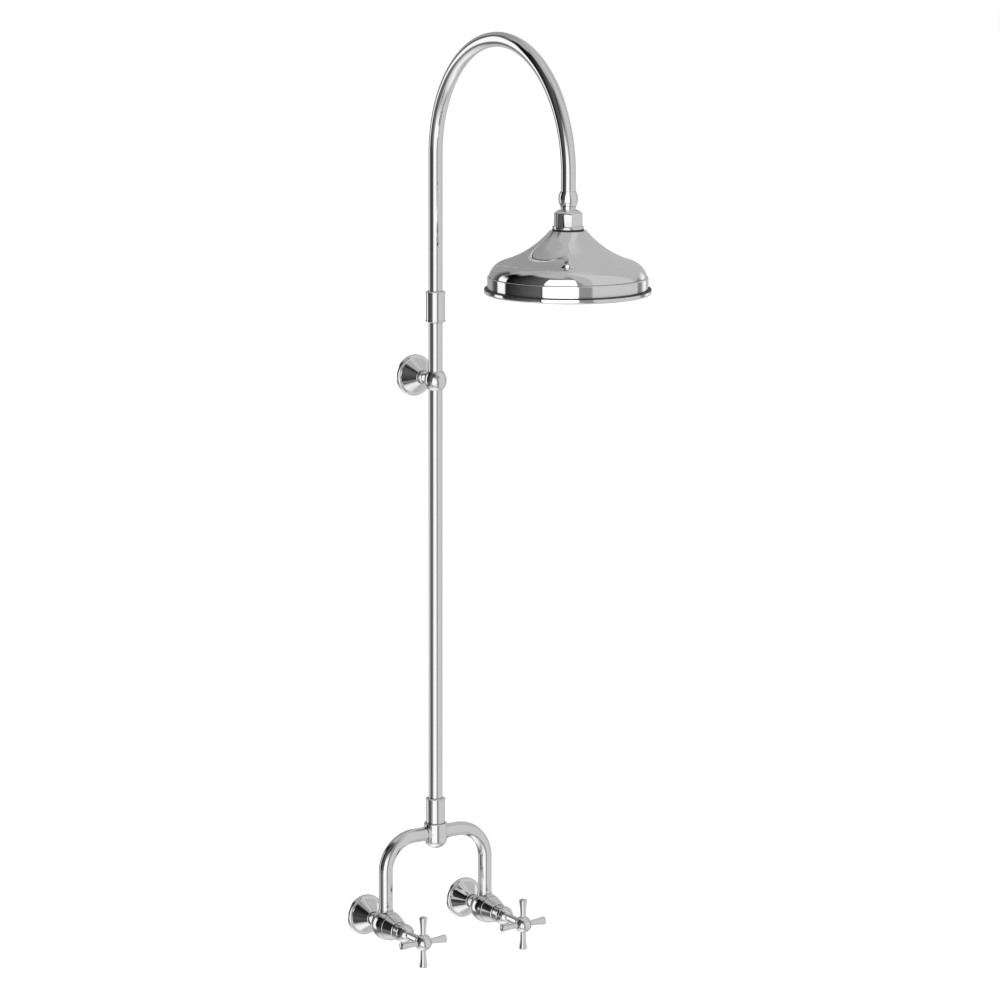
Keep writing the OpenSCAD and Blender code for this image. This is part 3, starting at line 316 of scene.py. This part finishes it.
def make_floor():
    """A pale floor below the column. It shows white, with the column's soft shadow on it."""
    size = FLOOR_HALF_SIZE
    z = cad_low.z - FLOOR_DROP
    corners = [(-size, -size, z), (size, -size, z), (size, size, z), (-size, size, z)]
    mesh = bpy.data.meshes.new("studio_floor")
    mesh.from_pydata(corners, [], [(0, 1, 2, 3)])
    floor = bpy.data.objects.new("studio_floor", mesh)
    scene.collection.objects.link(floor)
    material = bpy.data.materials.new("studio_floor")
    material.use_nodes = True
    n = Nodes(material.node_tree)
    matt = n.add("ShaderNodeBsdfDiffuse")
    matt.inputs["Color"].default_value = (FLOOR_GREY, FLOOR_GREY, FLOOR_GREY, 1)
    glow = n.add("ShaderNodeEmission")
    path = n.add("ShaderNodeLightPath").outputs
    n.link(n.math("MULTIPLY", path["Is Camera Ray"], FLOOR_GLOW), glow.inputs["Strength"])
    both = n.add("ShaderNodeAddShader")
    n.link(matt.outputs[0], both.inputs[0])
    n.link(glow.outputs[0], both.inputs[1])
    n.link(both.outputs[0], n.add("ShaderNodeOutputMaterial").inputs["Surface"])
    mesh.materials.append(material)
    floor.visible_glossy = False


def make_lamp():
    """One large soft lamp above and to the left, for matt surfaces. The chrome's light boxes are PANELS."""
    data = bpy.data.lights.new("key", "AREA")
    data.shape = "RECTANGLE"
    data.size, data.size_y = LAMP_SIZE, LAMP_SIZE
    data.energy = LAMP_POWER
    lamp = bpy.data.objects.new("key", data)
    lamp.location = LAMP_PLACE
    lamp.rotation_euler = (LAMP_AIM - LAMP_PLACE).to_track_quat("-Z", "Y").to_euler()
    lamp.visible_glossy = False
    scene.collection.objects.link(lamp)


def make_rose_light():
    """A tall light box in front of the rose, which only the rose's chrome sees."""
    low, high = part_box("rose_bell")
    middle = (low + high) / 2
    left, right = (math.radians(a) for a in ROSE_LIGHT_SIDES)
    azimuth = CAMERA_AZIMUTH + (left + right) / 2
    half_width = ROSE_LIGHT_DISTANCE * math.tan((right - left) / 2)
    foot, top = (ROSE_LIGHT_DISTANCE * math.tan(math.radians(a)) for a in ROSE_LIGHT_HEIGHTS)
    outwards = Vector((math.sin(azimuth), -math.cos(azimuth), 0.0))
    data = bpy.data.lights.new("rose_light", "AREA")
    data.shape = "RECTANGLE"
    data.size, data.size_y = 2 * half_width, top - foot
    data.energy = shade(WHITE) * math.pi * data.size * data.size_y
    data.cycles.max_bounces = ROSE_LIGHT_BOUNCES
    lamp = bpy.data.objects.new("rose_light", data)
    lamp.location = middle + outwards * ROSE_LIGHT_DISTANCE + Vector((0, 0, (foot + top) / 2))
    lamp.rotation_euler = (-outwards).to_track_quat("-Z", "Y").to_euler()
    lamp.visible_camera = False
    chrome = bpy.data.collections.new("rose_chrome")
    for name in ROSE_CHROME:
        chrome.objects.link(frame["nodes"][name])
    lamp.light_linking.receiver_collection = chrome
    scene.collection.objects.link(lamp)


def make_camera():
    data = bpy.data.cameras.new("camera")
    data.lens = CAMERA_LENS
    data.sensor_width = CAMERA_SENSOR
    data.shift_x = CAMERA_SHIFT_X
    data.clip_start, data.clip_end = CAMERA_CLIP
    camera = bpy.data.objects.new("camera", data)
    back = Vector((
        math.sin(CAMERA_AZIMUTH) * math.cos(CAMERA_PITCH),
        -math.cos(CAMERA_AZIMUTH) * math.cos(CAMERA_PITCH),
        math.sin(CAMERA_PITCH),
    ))
    camera.location = CAMERA_TARGET + back * CAMERA_DISTANCE
    camera.rotation_mode = "QUATERNION"
    camera.rotation_quaternion = (-back).to_track_quat("-Z", "Y")
    scene.collection.objects.link(camera)
    scene.camera = camera


# ---- materials ----

WANDER_DETAIL, WANDER_ROUGHNESS = 4.0, 0.6  # of the noise that moves the colour
ROUGH_GRAIN = 2.3  # how much finer the roughness wanders than the colour
ROUGH_DETAIL = 5.0
ROUGH_RANGE = (0.3, 0.7)  # of the noise, from the least to the greatest roughness
# painted shade: a near-black colour mixed into the base colour in narrow gaps and where parts meet, where
# shade falls
PAINTED_SHADE_COLOUR = (0.04, 0.04, 0.042, 1)
PAINTED_SHADE_REACH = 0.014  # how near another surface has to be
PAINTED_SHADE_OPENNESS = (0.3, 0.85)  # how open the place is where the painted shade is full, and where there is none
PAINTED_SHADE_SAMPLES = 8


class Relief(NamedTuple):
    """Small hills in a surface."""

    depth: float  # metres
    scale: float  # hills per metre
    detail: float = 3.0
    roughness: float = 0.5


def surface(name, colours, rough, grain, metallic=0.0, relief=None, painted_crevice_shade=0.0):
    """A material whose colour and roughness wander between two values each, grain times per metre.

    The last argument is how strong the painted shade is in narrow gaps: a dark colour painted into the base
    colour where shade falls."""
    material = bpy.data.materials.new(name)
    material.use_nodes = True
    n = Nodes(material.node_tree)
    shader = n.add("ShaderNodeBsdfPrincipled")
    shader.inputs["Metallic"].default_value = metallic
    place = n.add("ShaderNodeTexCoord").outputs["Object"]
    wander = n.noise(place, grain, WANDER_DETAIL, WANDER_ROUGHNESS)
    colour = n.mix_colour(wander, (*colours[0], 1), (*colours[1], 1))
    # painted shade: where another surface is near, the base colour is darkened towards a near-black colour
    if painted_crevice_shade:
        near = n.add("ShaderNodeAmbientOcclusion", samples=PAINTED_SHADE_SAMPLES)
        near.inputs["Distance"].default_value = PAINTED_SHADE_REACH
        painted_shade = n.step(near.outputs["AO"], *PAINTED_SHADE_OPENNESS, painted_crevice_shade, 0.0)
        colour = n.mix_colour(painted_shade, colour, PAINTED_SHADE_COLOUR)
    n.link(colour, shader.inputs["Base Color"])
    scuffs = n.noise(place, grain * ROUGH_GRAIN, ROUGH_DETAIL, WANDER_ROUGHNESS)
    n.link(n.step(scuffs, *ROUGH_RANGE, *rough), shader.inputs["Roughness"])
    if relief:
        hills = n.noise(place, relief.scale, relief.detail, relief.roughness)
        n.link(n.relief(hills, relief.depth), shader.inputs["Normal"])
    n.link(shader.outputs[0], n.add("ShaderNodeOutputMaterial").inputs["Surface"])
    return material


MATERIALS = {
    "chrome": surface(
        "chrome", ((0.87, 0.87, 0.875), (0.895, 0.895, 0.9)), (0.018, 0.05), 25.0,
        # the last value sets the painted shade in the chrome's narrow gaps
        metallic=1.0, relief=Relief(0.000009, 38.0, 1.0, 0.4), painted_crevice_shade=0.85,
    ),
    "brass": surface(
        "brass", ((0.72, 0.53, 0.27), (0.80, 0.62, 0.35)), (0.22, 0.34), 120.0,
        metallic=1.0, relief=Relief(0.00002, 900.0),
    ),
    "seal_rubber": surface(
        "seal_rubber", ((0.012, 0.012, 0.013), (0.03, 0.03, 0.032)), (0.45, 0.62), 150.0,
        relief=Relief(0.00003, 900.0),
    ),
    "nozzle_silicone": surface(
        "nozzle_silicone", ((0.20, 0.205, 0.21), (0.26, 0.265, 0.27)), (0.5, 0.65), 90.0,
        relief=Relief(0.00004, 700.0),
    ),
    "ceramic": surface("ceramic", ((0.82, 0.81, 0.77), (0.88, 0.87, 0.84)), (0.12, 0.2), 90.0),
    "nylon": surface(
        "nylon", ((0.78, 0.77, 0.71), (0.84, 0.83, 0.78)), (0.4, 0.5), 90.0,
        relief=Relief(0.00002, 700.0),
    ),
    "steel": surface(
        "steel", ((0.48, 0.48, 0.48), (0.6, 0.6, 0.6)), (0.28, 0.4), 200.0,
        metallic=1.0, relief=Relief(0.00001, 900.0),
    ),
}
SLOTS = {part["node"]: part["material_slot"] for part in frame["record"]["subparts"]}


def dress_nodes():
    """Gives each CAD node the material of its slot."""
    for name, node in frame["nodes"].items():
        node.data.materials.clear()
        node.data.materials.append(MATERIALS[SLOTS[name]])


# ---- detail pieces: each is turned round its own axis, in millimetres ----


def turned(node, body, outline, steps, place):
    """Stands for a CAD node by a piece turned round an axis. outline(angle) is its closed section there."""
    mesh = bpy.data.meshes.new(node + "_detail")
    bm = bmesh.new()
    rings = []
    for k in range(steps):
        angle = 2 * math.pi * k / steps
        c, s = math.cos(angle) * MILLIMETRE, math.sin(angle) * MILLIMETRE
        rings.append([
            bm.verts.new(place @ Vector((r * c, r * s, z * MILLIMETRE))) for r, z in outline(angle)
        ])
    rows = len(rings[0])
    for k in range(steps):
        near, far = rings[k], rings[(k + 1) % steps]
        for i in range(rows):
            j = (i + 1) % rows
            bm.faces.new((near[i], far[i], far[j], near[j]))
    bmesh.ops.remove_doubles(bm, verts=bm.verts, dist=MERGE_DISTANCE)
    bmesh.ops.recalc_face_normals(bm, faces=bm.faces)
    bm.to_mesh(mesh)
    bm.free()
    mesh.shade_smooth()
    mesh.set_sharp_from_angle(angle=SHARP_ANGLE)
    mesh.materials.append(MATERIALS[SLOTS[node]])
    piece = bpy.data.objects.new(node + "_detail", mesh)
    scene.collection.objects.link(piece)
    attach(piece, body)
    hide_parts(node)


def crowned_hexagon(across_flats, crown_r, corner_r):
    """Returns a function from angle to radius, for a hexagon with crowned sides and rounded corners."""
    drop = crown_r - across_flats / 2
    half_side = math.radians(30)
    corner = -drop * math.cos(half_side)
    corner += math.sqrt((crown_r - corner_r) ** 2 - (drop * math.sin(half_side)) ** 2)
    cx, cy = corner * math.cos(half_side), corner * math.sin(half_side)
    reach = math.hypot(cx + drop, cy)
    rounding_from = math.atan2(cy * (1 + corner_r / reach), cx + corner_r * (cx + drop) / reach)

    def radius(angle):
        t = abs((angle + half_side) % (2 * half_side) - half_side)
        if t <= rounding_from:
            return -drop * math.cos(t) + math.sqrt(crown_r**2 - (drop * math.sin(t)) ** 2)
        along = cx * math.cos(t) + cy * math.sin(t)
        return along + math.sqrt(max(corner_r**2 - corner**2 + along**2, 0))

    return radius


def thread_radius(z, angle, crest, root, pitch):
    """Radius of a right-hand thread with rounded crests and roots."""
    turn = (z / pitch - angle / (2 * math.pi)) % 1
    flank = (1 - abs(2 * turn - 1) - THREAD_FLAT) / (1 - 2 * THREAD_FLAT)
    flank = min(max(flank, 0), 1)
    return root + (crest - root) * flank * flank * (3 - 2 * flank)


def spaced(start, end, step):
    """Numbers from start to end, about step apart."""
    count = max(1, round((end - start) / step))
    return [start + (end - start) * k / count for k in range(count + 1)]


def eased(r, z, r_way, z_way, reach, depth):
    """Three points that soften the corner at (r, z). They lie r_way and z_way of it, each 1 or -1."""
    return [(r + r_way * reach, z), (r + r_way * depth, z + z_way * depth), (r, z + z_way * reach)]


def axis_place(node, from_wall):
    """Where a piece's own axis stands: out of the wall, or upright from the node's foot."""
    low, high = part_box(node)
    middle = (low + high) / 2
    if from_wall:
        return Matrix(((1, 0, 0, middle.x), (0, 0, -1, 0), (0, 1, 0, middle.z), (0, 0, 0, 1)))
    return Matrix.Translation((middle.x, middle.y, low.z))


def make_nut():
    """The swivel nut, with crowned sides, rounded corners and a bevelled top, as a polished nut has."""
    side = crowned_hexagon(NUT_FLATS, NUT_CROWN_R, NUT_CORNER_R)
    low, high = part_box("swivel_nut")
    top = (high.z - low.z) / MILLIMETRE
    ball_at = top - NUT_LIP_H
    lip_r = math.sqrt(NUT_BALL_R**2 - NUT_LIP_H**2)
    ring_r = lip_r + NUT_RING_W
    seat = [
        (NUT_BALL_R * math.cos(t), ball_at + NUT_BALL_R * math.sin(t))
        for t in spaced(math.asin(NUT_LIP_H / NUT_BALL_R), 0, -NUT_BALL_STEP)
    ]

    def outline(angle):
        r = side(angle + NUT_TURN)
        bevel = top - max(r - ring_r, 0) * math.tan(NUT_BEVEL)
        section = [(NUT_BOSS_R, 0)]
        section += eased(NUT_COLLAR_R, 0, -1, 1, *NUT_COLLAR_EDGE)
        section += reversed(eased(NUT_COLLAR_R, NUT_COLLAR_H, -1, -1, *NUT_COLLAR_EDGE))
        section += eased(r, NUT_COLLAR_H, 1, 1, *NUT_COLLAR_FILLET)
        section += [(r - inwards, bevel - down) for inwards, down in NUT_SHOULDER]
        section += [(ring_r, top), (lip_r + NUT_LIP_EASE, top)]
        section += seat
        section += [(NUT_BALL_R, ball_at - NUT_BORE_DEPTH), (NUT_BOSS_R, ball_at - NUT_BORE_DEPTH)]
        return section

    turned("swivel_nut", "rose", outline, NUT_STEPS, axis_place("swivel_nut", False))


def make_inlet_tail(node):
    """A wall inlet's tail: pipe thread behind the wall, hexagon, and shank with its O-ring groove."""
    side = crowned_hexagon(TAIL_FLATS, TAIL_CROWN_R, TAIL_CORNER_R)
    rows = spaced(-TAIL_THREAD_L, -TAIL_THREAD_END, TAIL_PITCH / TAIL_ROWS_PER_TURN)
    end = -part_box(node)[0].y / MILLIMETRE
    face_r = TAIL_FLATS / 2 - TAIL_FACE_EASE
    groove = (TAIL_GROOVE_AT - TAIL_GROOVE_W / 2, TAIL_GROOVE_AT + TAIL_GROOVE_W / 2)

    def outline(angle):
        section = []
        for z in rows:
            thread = thread_radius(z, angle, TAIL_CREST_R, TAIL_ROOT_R, TAIL_PITCH)
            lead = TAIL_CREST_R - max(0, TAIL_LEAD_L - (z + TAIL_THREAD_L)) * TAIL_LEAD_SLOPE
            section.append((min(thread, lead), z))
        r = side(angle + TAIL_FIRST_CORNER)
        bevel = TAIL_EDGE + max(r - TAIL_FLATS / 2, 0) * TAIL_BEVEL_SLOPE
        section += [(TAIL_ROOT_R, -TAIL_RELIEF_FROM), (TAIL_ROOT_R, 0), (face_r, 0), (r, bevel)]
        section += [(r, TAIL_HEX_L - bevel), (face_r, TAIL_HEX_L), (TAIL_SHANK_R, TAIL_HEX_L)]
        section += [(TAIL_SHANK_R, groove[0]), (TAIL_GROOVE_R, groove[0])]
        section += [(TAIL_GROOVE_R, groove[1]), (TAIL_SHANK_R, groove[1])]
        section += [(TAIL_SHANK_R, end - TAIL_SHANK_CHAMFER), (TAIL_SHANK_R - TAIL_SHANK_CHAMFER, end)]
        section += [(TAIL_BORE_R + TAIL_BORE_CHAMFER, end), (TAIL_BORE_R, end - TAIL_BORE_CHAMFER)]
        section += [(TAIL_BORE_R, TAIL_BORE_CHAMFER - TAIL_THREAD_L)]
        section += [(TAIL_BORE_R + TAIL_BORE_CHAMFER, -TAIL_THREAD_L)]
        return section

    turned(node, "column", outline, TAIL_STEPS, axis_place(node, True))


def make_bracket_bolt():
    """The bracket's hanger bolt: a pointed wood thread for the wall and an M8 thread in the stem."""
    low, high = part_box("bracket_bolt")
    point, end = -high.y / MILLIMETRE, -low.y / MILLIMETRE
    wood = spaced(point, BOLT_WOOD_END, BOLT_WOOD_PITCH / BOLT_WOOD_ROWS)
    metal = spaced(BOLT_METAL_FROM, end, BOLT_METAL_PITCH / BOLT_METAL_ROWS)

    def outline(angle):
        section = [(0, point)]
        for z in wood[1:]:
            tip = BOLT_POINT_R + (z - point) * BOLT_POINT_SLOPE
            crest = min(BOLT_R, tip + BOLT_POINT_CREST)
            root = min(BOLT_R - BOLT_WOOD_DEPTH, tip * BOLT_POINT_ROOT)
            section.append((thread_radius(z, angle, crest, root, BOLT_WOOD_PITCH), z))
        section += [(BOLT_METAL_R, z) for z in BOLT_PLAIN]
        for z in metal:
            thread = thread_radius(z, angle, BOLT_METAL_R, BOLT_METAL_ROOT_R, BOLT_METAL_PITCH)
            chamfer = BOLT_METAL_R - max(0, BOLT_CHAMFER - (end - z))
            section.append((min(thread, chamfer), z))
        section.append((0, end))
        return section

    turned("bracket_bolt", "column", outline, BOLT_STEPS, axis_place("bracket_bolt", True))


make_world()
make_floor()
make_lamp()
make_rose_light()
make_camera()
dress_nodes()
make_nut()
make_inlet_tail("inlet_tail_left")
make_inlet_tail("inlet_tail_right")
make_bracket_bolt()
